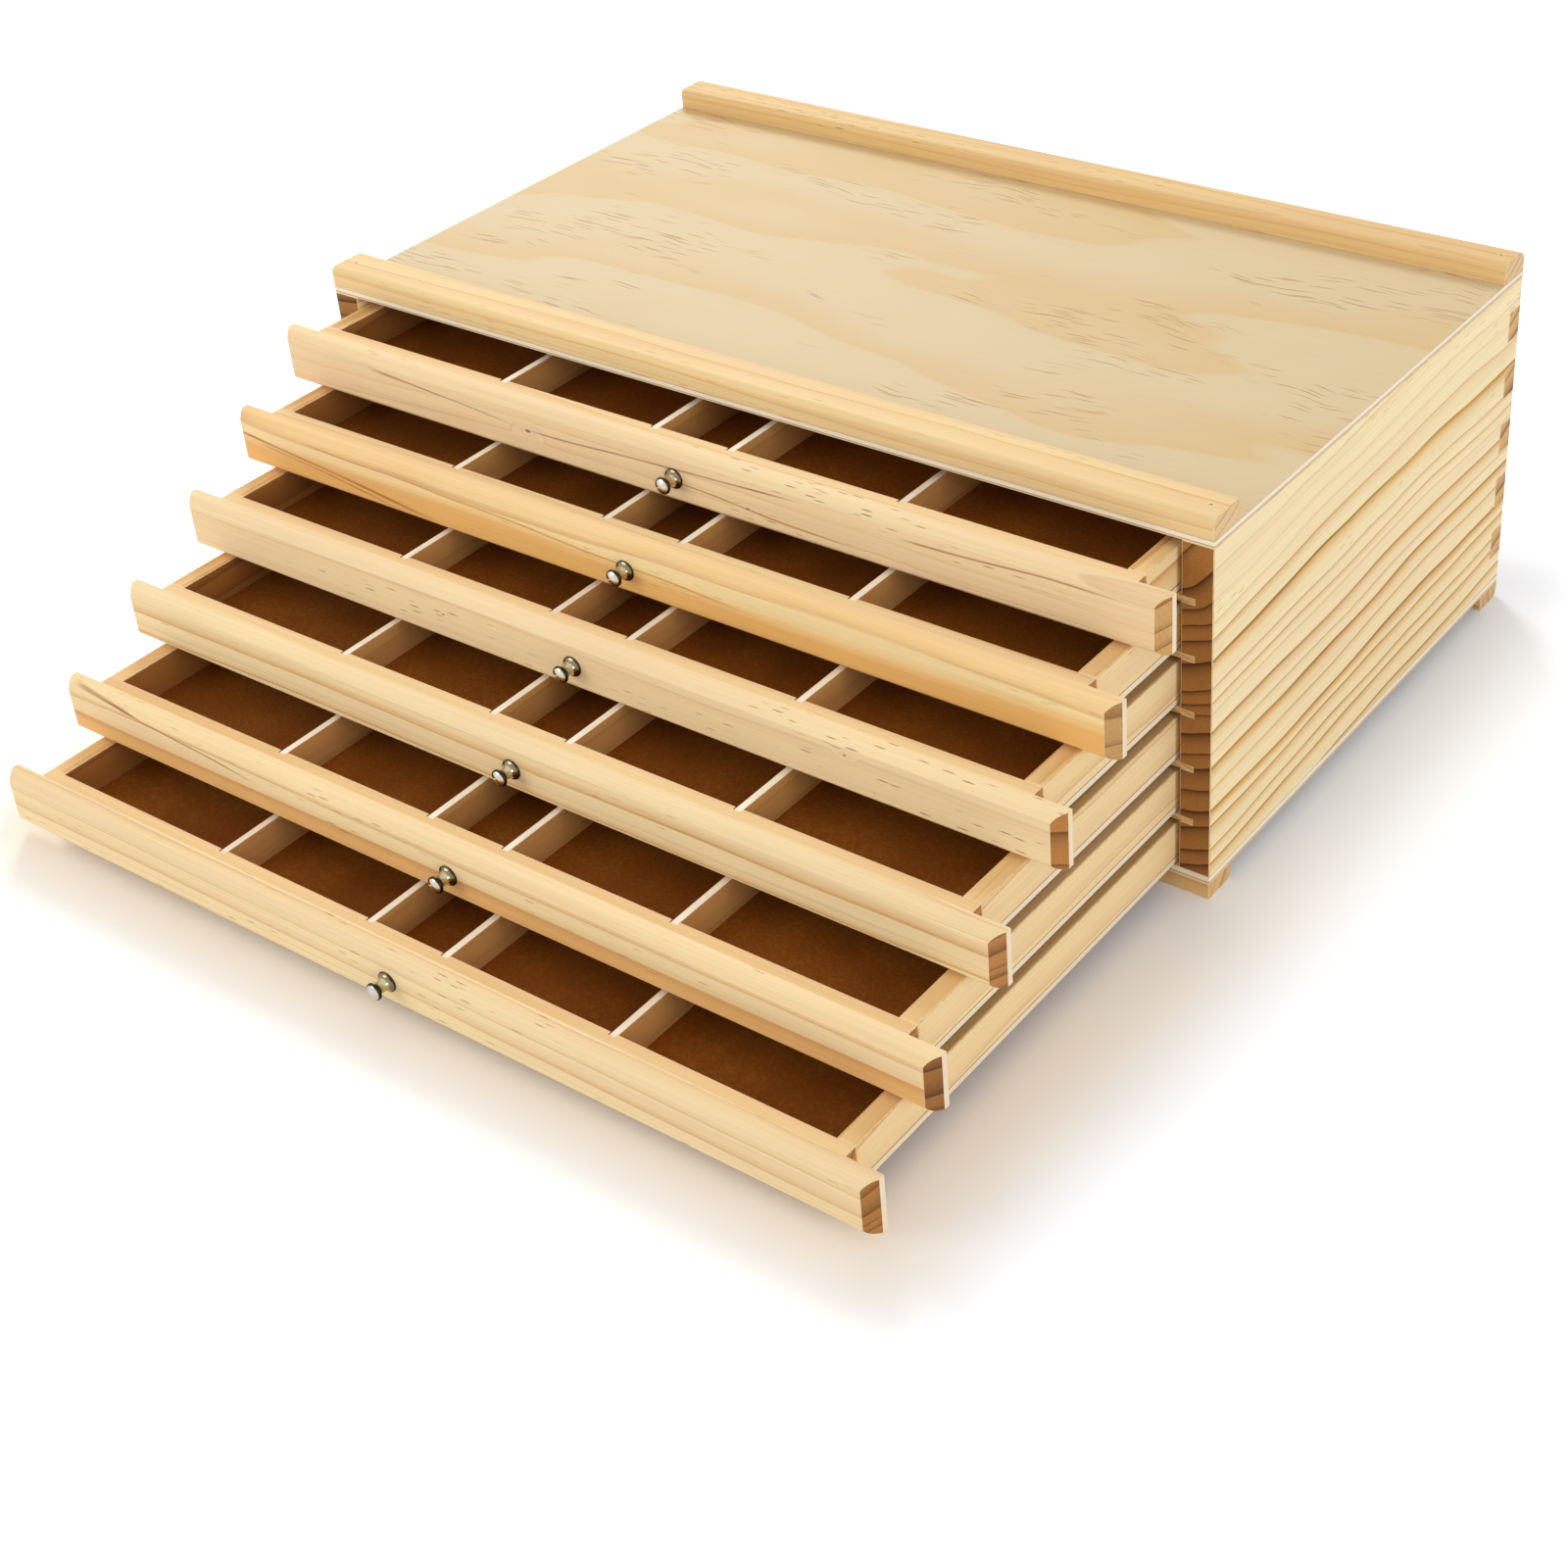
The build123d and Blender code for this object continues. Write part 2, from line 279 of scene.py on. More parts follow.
        plain = add(
            tree, "ShaderNodeMapRange", soft_step,
            {
                "Value": axes.outputs["Z"], "From Min": calm_from, "From Max": calm_to,
                "To Min": 1.0, "To Max": 0.25,
            },
        )
        weight = add(tree, "ShaderNodeMath", {"operation": "MULTIPLY"}, {0: weight, 1: plain})
    dark = add(tree, "ShaderNodeMath", {"operation": "MULTIPLY"}, {0: late_wood, 1: weight})
    thinned = add(tree, "ShaderNodeMath", {"operation": "MULTIPLY"}, {0: thin, 1: weight})
    uneven_line = add(
        tree, "ShaderNodeMapRange", None,
        {"Value": ripple, "From Min": 0.3, "From Max": 0.7, "To Min": 0.2 * sharp, "To Max": 1.6 * sharp},
    )
    edge_line = add(
        tree, "ShaderNodeMath", {"operation": "MULTIPLY", "use_clamp": True},
        {0: thinned, 1: uneven_line},
    )

    # Fibres, strands of them, and slow clouds of tone. Real fibres are 0.03 mm wide, and these are
    # drawn wider so that they show.
    fibre = figure(tree, mm, 30, 0.6, detail=2.0, roughness=0.6)
    strand = figure(tree, mm, 150, 1.3, detail=2.0, roughness=0.55)
    cloud = figure(tree, mm, 160, 14, detail=2.0)

    # Flecks: resin canals cut lengthways, about 5 mm long and 0.4 mm wide, in drifts.
    cells = add(
        tree, "ShaderNodeVectorMath", {"operation": "MULTIPLY"},
        {0: mm, 1: (1 / 15, 1 / 1.4, 1 / 1.4)},
    )
    canal = add(tree, "ShaderNodeTexVoronoi", None, {"Vector": cells, "Scale": 1.0})
    streak = add(
        tree, "ShaderNodeMapRange", soft_step,
        {"Value": canal, "From Min": 0.1, "From Max": 0.22, "To Min": 1.0, "To Max": 0.0},
    )
    drift_level = 0.6 - 0.13 * flecks
    drift = add(
        tree, "ShaderNodeMapRange", soft_step,
        {
            "Value": cloud, "From Min": drift_level, "From Max": drift_level + 0.1,
            "To Min": 0.0, "To Max": min(flecks, 0.8),
        },
    )
    fleck = add(tree, "ShaderNodeMath", {"operation": "MULTIPLY"}, {0: streak, 1: drift})

    # The side of each face: along the grain, or across it.
    facing = add(tree, "ShaderNodeSeparateXYZ", None, {0: where.outputs["Normal"]})
    along = add(
        tree, "ShaderNodeMath", {"operation": "ABSOLUTE"},
        {0: facing.outputs["X" if grain == "X" else "Y"]},
    )
    cut = add(tree, "ShaderNodeMapRange", soft_step, {"Value": along, "From Min": 0.55, "From Max": 0.75})

    body = add(tree, "ShaderNodeMix", colour_mix, {0: dark, 6: linear(pale), 7: linear(late)})
    body = add(tree, "ShaderNodeMix", colour_mix, {0: edge_line, 6: body, 7: linear(line)})
    if heart:
        body = heartwood(tree, body, mm, bend, wobble, pith[1], *heart)
    # Faces that point up take the warm colour; on the divider strips it is a painted highlight.
    if warm:
        upward = add(
            tree, "ShaderNodeMapRange", soft_step,
            {"Value": facing.outputs["Z"], "From Min": 0.35, "From Max": 0.9},
        )
        warmed = add(tree, "ShaderNodeMix", colour_mix, {0: dark, 6: linear(warm), 7: linear(late)})
        body = add(tree, "ShaderNodeMix", colour_mix, {0: upward, 6: body, 7: warmed})
    # Painted shade: faces turned to the inner side along X are mixed towards brown.
    if inner:
        inner_side, inner_colour = inner
        turned = add(
            tree, "ShaderNodeMath", {"operation": "MULTIPLY"},
            {0: facing.outputs["X"], 1: inner_side},
        )
        inside = add(
            tree, "ShaderNodeMapRange", soft_step,
            {"Value": turned, "From Min": 0.4, "From Max": 0.9},
        )
        painted_inner_shade = add(
            tree, "ShaderNodeMix", colour_mix,
            {0: dark, 6: linear(inner_colour), 7: linear("#7A4A1E")},
        )
        body = add(tree, "ShaderNodeMix", colour_mix, {0: inside, 6: body, 7: painted_inner_shade})
    for far in near:
        pin = add(
            tree, "ShaderNodeMapRange", soft_step,
            {"Value": far, "From Min": 0.25, "From Max": 0.8, "To Min": 0.85, "To Max": 0.0},
        )
        body = add(tree, "ShaderNodeMix", colour_mix, {0: pin, 6: body, 7: linear("#6B3A14")})
    for pitch in streaks:
        body = pitch_line(tree, body, axes, ripple, strand, *pitch)
    # The wood is a little pinker here and yellower there.
    hue = add(tree, "ShaderNodeValToRGB", {"stops": [(0.35, "#FFFBF7"), (0.65, "#FEFFF9")]}, {"Fac": cloud})
    body = add(tree, "ShaderNodeMix", colour_wash, {0: 1.0, 6: body, 7: hue})
    tone = add(tree, "ShaderNodeMath", {"operation": "MULTIPLY_ADD"}, {0: cloud, 1: 0.14, 2: 0.78})
    stranded = add(tree, "ShaderNodeMath", {"operation": "MULTIPLY_ADD"}, {0: strand, 1: 0.2, 2: tone})
    grainy = add(tree, "ShaderNodeMath", {"operation": "MULTIPLY_ADD"}, {0: fibre, 1: 0.14, 2: stranded})
    shaded = add(tree, "ShaderNodeMix", colour_wash, {0: 1.0, 6: body, 7: grainy})
    flecked = add(tree, "ShaderNodeMix", colour_mix, {0: fleck, 6: shaded, 7: linear("#8A5526")})
    ends = add(tree, "ShaderNodeMix", colour_mix, {0: late_wood, 6: linear(end_pale), 7: linear(end_late)})
    pores = add(tree, "ShaderNodeTexNoise", None, {"Vector": mm, "Scale": 1.4, "Detail": 2.0})
    pitted = add(tree, "ShaderNodeMath", {"operation": "MULTIPLY_ADD"}, {0: pores, 1: 0.5, 2: 0.75})
    ended = add(tree, "ShaderNodeMix", colour_wash, {0: 1.0, 6: ends, 7: pitted})
    # Painted highlight: a square end facing along the grain is laid over with one pale colour.
    if end_face:
        square = add(
            tree, "ShaderNodeMapRange", soft_step,
            {"Value": along, "From Min": 0.9, "From Max": 0.97},
        )
        ended = add(tree, "ShaderNodeMix", colour_mix, {0: square, 6: ended, 7: linear(end_face)})
    colour = add(tree, "ShaderNodeMix", colour_mix, {0: cut, 6: flecked, 7: ended})
    relief = add(tree, "ShaderNodeMath", {"operation": "MULTIPLY_ADD"}, {0: dark, 1: 0.6, 2: fibre})
    surfaced(tree, colour, fibre, (0.5, 0.68), relief, 0.25, 0.0002, {"IOR": 1.45, "Specular IOR Level": 0.3})
    return made


# Sanded pine for the edges that a hand sander took off, painted paler than the boards as a
# highlight where the edges catch the light. They show as thin pale lines.
sanded_highlight_pine = planed_pine(
    "sanded_highlight_pine", pith=(40, -60), ring=5, pale="#F4DDB2", late="#DDB47A", contrast=0.3, flecks=0.0,
    end_pale="#E2C08C", end_late="#BE8E55",
)


def eased(name, node, body, wood, edge=0.3, edge_wood=sanded_highlight_pine):
    """The sawn solid of a node with its edges sanded off by edge, in mm, in the same place."""
    crease = math.radians(32)  # edges that turn further than this are sanded
    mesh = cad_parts[node].data.copy()
    mesh.name = name
    mesh.materials.clear()
    for layer in ("custom_normal", "sharp_face", "sharp_edge"):
        if mesh.attributes.get(layer):
            mesh.attributes.remove(mesh.attributes[layer])
    form = bmesh.new()
    form.from_mesh(mesh)
    bmesh.ops.remove_doubles(form, verts=form.verts, dist=2e-6)
    bmesh.ops.dissolve_limit(form, angle_limit=math.radians(1.0), verts=form.verts, edges=form.edges)
    form.to_mesh(mesh)
    form.free()
    mesh.materials.append(wood)
    mesh.materials.append(edge_wood)
    mesh.shade_smooth()
    mesh.set_sharp_from_angle(angle=crease)
    piece = put(name, mesh)
    ease = piece.modifiers.new("eased edges", "BEVEL")
    ease.width = edge / 1000
    ease.segments = 2
    ease.limit_method = "ANGLE"
    ease.angle_limit = crease
    ease.use_clamp_overlap = True
    # The bevels take edge_wood; by default that is the sanded pine with its painted highlight.
    ease.material = 1
    flat = piece.modifiers.new("flat faces", "WEIGHTED_NORMAL")
    flat.keep_sharp = True
    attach(piece, body)
    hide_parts(node)


# Flat-sawn board: long wavy orange lines along the outside, and rings in brown end grain.
for side, log in (("right", (164.0, 166.0)), ("left", (-158.0, -34.0))):
    board = planed_pine(
        f"planed_pine_side_{side}", grain="Y", pith=log, shift=40, tilt=-2.2,
        ring=7.3, wobble=5.5, wave=(150, 60), ripples=1.4, flip=True,
        pale="#F7E4BA", late="#D39C46", contrast=1.35, line="#9A7234", sharp=0.65, calm=(108, 122),
        flecks=0.45, end_pale="#A46E34", end_late="#451F05",
    )
    eased(f"side_{side}_board", f"side_{side}", "case", board)


# Back panel
# One pine board, 9 mm thick, with the grain across the box. Its fingers are glued between those
# of the side panels, and their ends show as dark end grain at the back corners.

# Planed pine from far out in the log: wide rings that bend slowly, and browner finger ends.
back_pine = planed_pine(
    "planed_pine_back", pith=(190, 210), ring=7.5, wobble=10, wave=(420, 70), pale="#EFD09B", late="#C98A3C",
    contrast=0.65, flecks=0.4, end_pale="#DDB276", end_late="#7A4A1C",
)
eased("back_board", "back_panel", "case", back_pine, edge=0.2)


# Base and top panels
# Thin pine plywood, 3 mm and 2.5 mm, glued and pinned under and over the side panels. The
# outside veneer is peeled from the log, so its figure is wide soft bands and short dark flecks.


def peeled_ply(name, level, thickness, pale, band, shift=0.0):
    """Sanded pine plywood, cut from veneer peeled round the log: broad drifting bands where the
    blade crosses the year rings, fine dark dashes, and its plies in the edge. level is the height
    of its underside in mm."""
    made, tree = blank(name)
    where = add(tree, "ShaderNodeTexCoord")
    mm = add(
        tree, "ShaderNodeMapping", {"vector_type": "POINT"},
        {"Vector": where.outputs["Object"], "Location": (shift, 0, 0), "Scale": (1000, 1000, 1000)},
    )
    split = add(tree, "ShaderNodeSeparateXYZ", None, {0: mm})
    # Bands about 80 mm apart, that bend along the grain.
    bend = figure(tree, mm, 240, 80, detail=2.5, roughness=0.45)
    rows = add(tree, "ShaderNodeMath", {"operation": "MULTIPLY"}, {0: split.outputs["Y"], 1: 1 / 80})
    cross = add(tree, "ShaderNodeMath", {"operation": "MULTIPLY_ADD"}, {0: bend, 1: 3.0, 2: rows})
    season = add(tree, "ShaderNodeMath", {"operation": "FRACT"}, {0: cross})
    bands = add(
        tree, "ShaderNodeValToRGB",
        {"stops": [(0.0, 0.0), (0.04, 1.0), (0.22, 0.7), (0.45, 0.15), (0.8, 0.0), (1.0, 0.1)]},
        {"Fac": season},
    )
    fibre = figure(tree, mm, 26, 0.7, detail=2.0, roughness=0.6)
    # Dashes: resin canals 5 to 25 mm long and 0.4 mm wide, in drifts, that wander with the grain.
    swing = figure(tree, mm, 45, 60, detail=2.0)
    swung = add(
        tree, "ShaderNodeMath", {"operation": "MULTIPLY_ADD"},
        {0: swing, 1: 14.0, 2: split.outputs["Y"]},
    )
    laid = add(tree, "ShaderNodeCombineXYZ", None, {0: split.outputs["X"], 1: swung})
    streak = 0.0
    for length, width, reach in ((44, 1.6, 0.15), (120, 2.6, 0.11)):
        cells = add(
            tree, "ShaderNodeVectorMath", {"operation": "MULTIPLY"},
            {0: laid, 1: (1 / length, 1 / width, 0)},
        )
        canal = add(
            tree, "ShaderNodeTexVoronoi", {"voronoi_dimensions": "2D"},
            {"Vector": cells, "Scale": 1.0},
        )
        dash = add(
            tree, "ShaderNodeMapRange", soft_step,
            {"Value": canal, "From Min": 0.5 * reach, "From Max": reach, "To Min": 1.0, "To Max": 0.0},
        )
        streak = add(tree, "ShaderNodeMath", {"operation": "MAXIMUM"}, {0: dash, 1: streak})
    cloud = figure(tree, mm, 75, 26, detail=2.0)
    drift = add(
        tree, "ShaderNodeMapRange", soft_step,
        {"Value": cloud, "From Min": 0.52, "From Max": 0.59, "To Min": 0.0, "To Max": 0.85},
    )
    fleck = add(tree, "ShaderNodeMath", {"operation": "MULTIPLY"}, {0: streak, 1: drift})
    body = add(tree, "ShaderNodeMix", colour_mix, {0: bands, 6: linear(pale), 7: linear(band)})
    tone = add(tree, "ShaderNodeMath", {"operation": "MULTIPLY_ADD"}, {0: fibre, 1: 0.12, 2: 0.94})
    shaded = add(tree, "ShaderNodeMix", colour_wash, {0: 1.0, 6: body, 7: tone})
    flecked = add(tree, "ShaderNodeMix", colour_mix, {0: fleck, 6: shaded, 7: linear("#9A662C")})
    # The edge: pale faces outside and a darker ply between them.
    height = add(
        tree, "ShaderNodeMapRange", None,
        {"Value": split.outputs["Z"], "From Min": level, "From Max": level + thickness},
    )
    plies = add(
        tree, "ShaderNodeValToRGB",
        {"stops": [(0.0, "#E9D6B4"), (0.2, "#C79C62"), (0.34, "#F7ECD8"), (0.98, "#FAF1E0")]},
        {"Fac": height},
    )
    plies.color_ramp.interpolation = "CONSTANT"
    facing = add(tree, "ShaderNodeSeparateXYZ", None, {0: where.outputs["Normal"]})
    up = add(tree, "ShaderNodeMath", {"operation": "ABSOLUTE"}, {0: facing.outputs["Z"]})
    rim = add(
        tree, "ShaderNodeMapRange", soft_step,
        {"Value": up, "From Min": 0.3, "From Max": 0.6, "To Min": 1.0, "To Max": 0.0},
    )
    colour = add(tree, "ShaderNodeMix", colour_mix, {0: rim, 6: flecked, 7: plies})
    surfaced(tree, colour, fibre, (0.48, 0.62), fibre, 0.2, 0.00015, {"IOR": 1.45, "Specular IOR Level": 0.3})
    return made


# Both sheets are pale straw yellow: the base's bands stand out, and the top is more even.
base_ply = peeled_ply("peeled_pine_ply_base", level=6.5, thickness=3.0, pale="#E2CBA0", band="#D2B07C")
top_ply = peeled_ply(
    "peeled_pine_ply_top", level=141.7, thickness=2.5, pale="#DAC59D", band="#D8BB88", shift=110,
)
eased("base_sheet", "base_panel", "case", base_ply, edge=0.15, edge_wood=base_ply)
eased("top_sheet", "top_panel", "case", top_ply, edge=0.15, edge_wood=top_ply)


# Foot strips
# Two square strips of pine across the box, glued under the base at the front and the back.

# Planed pine offcuts: close rings, a little browner than the case.
foot_pine = planed_pine(
    "planed_pine_feet", pith=(60, -38), ring=4.2, pale="#EBC68D", late="#C98D45", contrast=0.6,
    end_pale="#DDB680", end_late="#B78950",
)
eased("front_foot_strip", "front_foot", "case", foot_pine)
eased("rear_foot_strip", "rear_foot", "case", foot_pine)


# Rails and their brads
# Two pine strips across the top, rounded along the upper edge by a cutter. A wire brad near each
# end holds them down through the plywood.

# Planed pine: orange lines along the front rail, and closer rings with many flecks in the rear one.
front_rail_pine = planed_pine(
    "planed_pine_front_rail", pith=(-12, 172), ring=5.5, wobble=4, pale="#EDCF9C", late="#D9A055",
    contrast=0.7, flecks=0.3, end_pale="#E5C596", end_late="#C9985A",
)
rear_rail_pine = planed_pine(
    "planed_pine_rear_rail", pith=(205, 190), shift=300, ring=3.4, wobble=5, pale="#E4C38D", late="#C99250",
    contrast=0.6, flecks=0.9, end_pale="#E5C596", end_late="#C9985A",
)
eased("front_rail_strip", "front_rail", "case", front_rail_pine)
eased("rear_rail_strip", "rear_rail", "case", rear_rail_pine)


def drawn_steel():
    """Drawn steel wire, cut and punched: grey, with a dull and slightly mottled head."""
    made, tree = blank("drawn_steel_brad")
    where = add(tree, "ShaderNodeTexCoord")
    mottle = add(
        tree, "ShaderNodeTexNoise", None,
        {"Vector": where.outputs["Object"], "Scale": 2500.0, "Detail": 3.0},
    )
    tint = add(tree, "ShaderNodeValToRGB", {"stops": [(0.3, "#6E675E"), (0.7, "#8F877C")]}, {"Fac": mottle})
    surfaced(tree, tint, mottle, (0.35, 0.6), mottle, 0.3, 0.00005, {"Metallic": 1.0})
    return made


def repeated(name, strip, tree, values, body, slot, *nodes):
    """Runs a repeating tree on a strip's mesh and keeps the result as one plain piece."""
    piece = put(name, strip)
    repeat = piece.modifiers.new("repeat", "NODES")
    repeat.node_group = tree
    for item in tree.interface.items_tree:
        if item.in_out == "INPUT" and item.name in values:
            repeat[item.identifier] = values[item.name]
    bpy.context.view_layer.update()
    graph = bpy.context.evaluated_depsgraph_get()
    found = piece.evaluated_get(graph)
    mesh = bpy.data.meshes.new_from_object(found, preserve_all_data_layers=True, depsgraph=graph)
    piece.modifiers.clear()
    piece.data = mesh
    mesh.name = name
    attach(piece, body)
    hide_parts(*nodes)


def strip_mesh(name, outline, low, high, rounded=0.15):
    """A strip: an outline in X and Y, between two levels, with its edges eased. In mm."""
    form = bmesh.new()
    floor = form.faces.new([form.verts.new((x / 1000, y / 1000, low / 1000)) for x, y in outline])
    raised = bmesh.ops.extrude_face_region(form, geom=[floor])
    tops = [v for v in raised["geom"] if isinstance(v, bmesh.types.BMVert)]
    bmesh.ops.translate(form, verts=tops, vec=(0, 0, (high - low) / 1000))
    bmesh.ops.recalc_face_normals(form, faces=form.faces)
    corner = 0.6  # radians: sharper edges than this are eased, and a round's facets aren't
    edges = [e for e in form.edges if e.calc_face_angle(0) > corner]
    bmesh.ops.bevel(form, geom=edges, offset=rounded / 1000, segments=2, profile=0.5, affect="EDGES")
    mesh = bpy.data.meshes.new(name)
    form.to_mesh(mesh)
    form.free()
    return mesh


def repeating_tree(name, **sizes):
    """A tree whose inputs are the piece that it repeats, its sizes and the finish."""
    tree = bpy.data.node_groups.new(name, "GeometryNodeTree")
    for label, kind in {"Piece": "Geometry", **sizes, "Finish": "Material"}.items():
        tree.interface.new_socket(label, in_out="INPUT", socket_type=f"NodeSocket{kind}")
    tree.interface.new_socket("Geometry", in_out="OUTPUT", socket_type="NodeSocketGeometry")
    return tree, add(tree, "NodeGroupInput")


def copy_at(tree, given, points):
    """Ends a tree: a real copy of the piece at each point, with the finish on it."""
    copies = add(
        tree, "GeometryNodeInstanceOnPoints", None,
        {"Points": points, "Instance": given.outputs["Piece"]},
    )
    real = add(tree, "GeometryNodeRealizeInstances", None, {0: copies})
    finished = add(
        tree, "GeometryNodeSetMaterial", None,
        {"Geometry": real, "Material": given.outputs["Finish"]},
    )
    add(tree, "NodeGroupOutput", None, {0: finished})
    return tree


def corner_pairs():
    """A tree that sets a copy at the four corners of a rectangle."""
    tree, given = repeating_tree("corner pairs", Across="Float", Deep="Float", Middle="Vector")
    grid = add(
        tree, "GeometryNodeMeshGrid", None,
        {
            "Size X": given.outputs["Across"], "Size Y": given.outputs["Deep"],
            "Vertices X": 2, "Vertices Y": 2,
        },
    )
    moved = add(
        tree, "GeometryNodeTransform", None,
        {"Geometry": grid, "Translation": given.outputs["Middle"]},
    )
    return copy_at(tree, given, moved)


low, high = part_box("rail_pins")
brad_width, brad_breadth = 1.25, 1.0
x, y = brad_width / 2, brad_breadth / 2
outline = [(-x, -y), (x, -y), (x, y), (-x, y)]
repeated(
    "brad_heads", strip_mesh("brad", outline, low.z * 1000, high.z * 1000, rounded=0.1), corner_pairs(),
    {
        "Across": high.x - low.x - brad_width / 1000, "Deep": high.y - low.y - brad_breadth / 1000,
        "Middle": (0.0, (low.y + high.y) / 2, 0.0), "Finish": drawn_steel(),
    },
    "case", "wire_steel", "rail_pins",
)


# Runners
# Five thin wooden strips a side, let into the grooves of the side panels. Their free front
# corners are rounded, and the trays above slide on them.

# Sawn pine laths: pale wood with close straight rings.
runner_pine = planed_pine(
    "sawn_pine_runners", grain="Y", pith=(150, -90), ring=2.6, pale="#EBCF9F", late="#CFA066", contrast=0.5,
    end_pale="#D9B27C", end_late="#A87843",
)


def runner_rack():
    """A tree that stacks copies of one runner, one above the other."""
    tree, given = repeating_tree("runner rack", Count="Int", Pitch="Vector")
    rungs = add(
        tree, "GeometryNodeMeshLine", {"mode": "OFFSET"},
        {"Count": given.outputs["Count"], "Offset": given.outputs["Pitch"]},
    )
    return copy_at(tree, given, rungs)


rack = runner_rack()
runner_count, runner_thickness, runner_round, round_steps = 5, 2.0, 2.0, 6
for side, out in (("right", 1), ("left", -1)):
    low, high = (corner * 1000 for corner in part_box(f"runners_{side}"))
    free, held = (low.x, high.x) if out > 0 else (high.x, low.x)
    turned = [
        (free + out * runner_round * (1 - math.sin(a)), low.y + runner_round * (1 - math.cos(a)))
        for a in (math.pi / 2 * step / round_steps for step in range(round_steps + 1))
    ]
    outline = [(held, low.y)] + turned + [(free, high.y), (held, high.y)]
    pitch = (high.z - low.z - runner_thickness) / (runner_count - 1)
    repeated(
        f"runner_strips_{side}", strip_mesh("runner", outline, low.z, low.z + runner_thickness), rack,
        {"Count": runner_count, "Pitch": (0.0, 0.0, pitch / 1000), "Finish": runner_pine},
        "case", "runner_wood", f"runners_{side}",
    )


# Trays
# Six shallow trays: pine walls, glued to a sheet of hardboard that is brown inside and pale in
# its cut edge. Four thin strips stand in slots and part the tray in five.


def pressed_hardboard():
    """Hardboard, pressed smooth: dark red brown with a fine mottle of fibres. The cut edge is
    pale and shows as a thin light line under the walls."""
    made, tree = blank("pressed_hardboard")
    where = add(tree, "ShaderNodeTexCoord")
    mm = add(
        tree, "ShaderNodeMapping", {"vector_type": "POINT"},
        {"Vector": where.outputs["Object"], "Scale": (1000, 1000, 1000)},
    )
    # Tufts of fibre about 1.4 mm across, and slow patches about 22 mm across.
    fine = add(
        tree, "ShaderNodeTexNoise", None,
        {"Vector": mm, "Scale": 0.7, "Detail": 4.0, "Roughness": 0.65},
    )
    broad = add(tree, "ShaderNodeTexNoise", None, {"Vector": mm, "Scale": 0.045, "Detail": 3.0})
    both = add(tree, "ShaderNodeMath", {"operation": "MULTIPLY_ADD"}, {0: broad, 1: 0.6, 2: fine})
    brown = add(
        tree, "ShaderNodeValToRGB", {"stops": [(0.5, "#7C4108"), (0.8, "#8C4D0D"), (1.0, "#9D5D1A")]},
        {"Fac": both},
    )
    facing = add(tree, "ShaderNodeSeparateXYZ", None, {0: where.outputs["Normal"]})
    up = add(tree, "ShaderNodeMath", {"operation": "ABSOLUTE"}, {0: facing.outputs["Z"]})
    rim = add(
        tree, "ShaderNodeMapRange", soft_step,
        {"Value": up, "From Min": 0.4, "From Max": 0.7, "To Min": 1.0, "To Max": 0.0},
    )
    colour = add(tree, "ShaderNodeMix", colour_mix, {0: rim, 6: brown, 7: linear("#EFE0C4")})
    surfaced(tree, colour, fine, (0.55, 0.8), fine, 0.3, 0.0001, {"IOR": 1.45, "Specular IOR Level": 0.25})
    return made


hardboard = pressed_hardboard()
tray_count = 6
# Planed pine, another board for each tray: bright outside, warmer along the upper edge, and
# painted brown inside as shade, where little light comes.
wall_pine = {
    (n, side): planed_pine(
        f"planed_pine_wall_{n}_{side}", grain="Y", pith=(150 - 30 * n, 60 + 25 * n), shift=90 * n,
        ring=4.5 + 0.4 * n, wobble=5, pale="#F2D7A8", late="#CE944C", contrast=0.8, warm="#EAC48C",
        flecks=0.4, inner=(1 if side == "left" else -1, "#A36C36"),
    )
    for n in range(1, tray_count + 1) for side in ("left", "right")
}
# The same pine, cut calmer, in the front and back walls.
cross_pine = planed_pine(
    "planed_pine_cross_walls", pith=(-140, -30), ring=5.0, wobble=5, pale="#EFD3A2", late="#D29A55",
    contrast=0.5, warm="#ECCB98", flecks=0.3,
)
# Sanded linden, nearly without figure, with painted light in its colour: the strips' sides are
# tan with painted shade, and their upper edges almost white with a painted highlight.
strip_wood = planed_pine(
    "sanded_linden_strips", grain="Y", pith=(0, -400), ring=14, wobble=3, pale="#C4935A", late="#A87640",
    contrast=0.5, flecks=0.0, warm="#FFF5E6", end_pale="#E6CFA8", end_late="#CFAE7C",
)


def strip_pairs():
    """A tree that sets a copy of one strip at two distances each side of the middle."""
    tree, given = repeating_tree("strip pairs", Inner="Float", Outer="Float")
    points = []
    for reach in ("Inner", "Outer"):
        back = add(tree, "ShaderNodeMath", {"operation": "MULTIPLY"}, {0: given.outputs[reach], 1: -1.0})
        start = add(tree, "ShaderNodeCombineXYZ", None, {0: back})
        end = add(tree, "ShaderNodeCombineXYZ", None, {0: given.outputs[reach]})
        pair = add(
            tree, "GeometryNodeMeshLine", {"mode": "END_POINTS"},
            {"Count": 2, "Start Location": start, "Offset": end},
        )
        points.append(pair.outputs[0])
    joined = add(tree, "GeometryNodeJoinGeometry", None, {0: points[0]})
    tree.links.new(points[1], joined.inputs[0])
    return copy_at(tree, given, joined)


